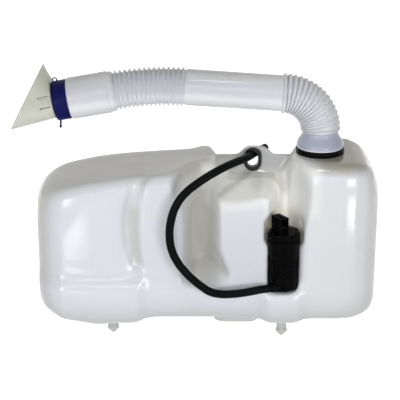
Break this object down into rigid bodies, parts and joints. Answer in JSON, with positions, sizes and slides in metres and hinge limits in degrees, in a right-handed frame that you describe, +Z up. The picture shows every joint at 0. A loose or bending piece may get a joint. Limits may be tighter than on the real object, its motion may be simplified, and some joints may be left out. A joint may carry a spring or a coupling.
{
  "type": "washer fluid reservoir",
  "caption": "Blow-moulded vehicle washer fluid tank with a corrugated filler tube and funnel, an electric pump in a front pocket and a rubber hose led through a tab.",
  "frame": {"origin": "where the left locating peg's axis meets the base plane of the tank, on the parting plane", "axes": "+X from the left peg to the pump's end, +Y from the front with the pump to the back, +Z up"},
  "size_m": [0.4157, 0.1371, 0.3278],
  "materials": {
    "tank_plastic": "milky satin",
    "tube_plastic": "milky satin",
    "funnel_plastic": "satin",
    "navy_plastic": "semi-gloss",
    "black_rubber": "satin",
    "grey_rubber": "satin",
    "pump_plastic": "satin",
    "steel": "plain",
    "ferrite": "matt",
    "bronze": "sintered",
    "card": "matt",
    "carbon": "matt",
    "terminal_brass": "tinned",
    "copper": "enamelled",
    "impeller_plastic": "satin"
  },
  "bodies": {
    "reservoir": {"tank": "tank_plastic", "neck_seal": "black_rubber", "filler_tube": "tube_plastic", "filler_collar": "navy_plastic", "funnel": "funnel_plastic", "tab_grommet": "grey_rubber", "hose": "black_rubber", "pump_grommet": "grey_rubber", "pump_base": "pump_plastic", "pump_body": "pump_plastic", "pump_cap": "pump_plastic", "motor_can": "steel", "magnet_left": "ferrite", "magnet_right": "ferrite", "lower_bearing": "bronze", "upper_bearing": "bronze", "brush_card": "card", "brush_left": "carbon", "brush_right": "carbon", "terminal_left": "terminal_brass", "terminal_right": "terminal_brass", "shaft_seal": "black_rubber"},
    "rotor": {"armature_shaft": "steel", "armature_core": "steel", "windings": "copper", "commutator": "copper", "impeller": "impeller_plastic"}
  },
  "joints": [
    {"name": "rotor_spin", "type": "hinge", "parent": "reservoir", "child": "rotor", "pos_m": [0.1972, -0.05, 0.07], "axis": [0, 0, 1], "continuous": true}
  ]
}
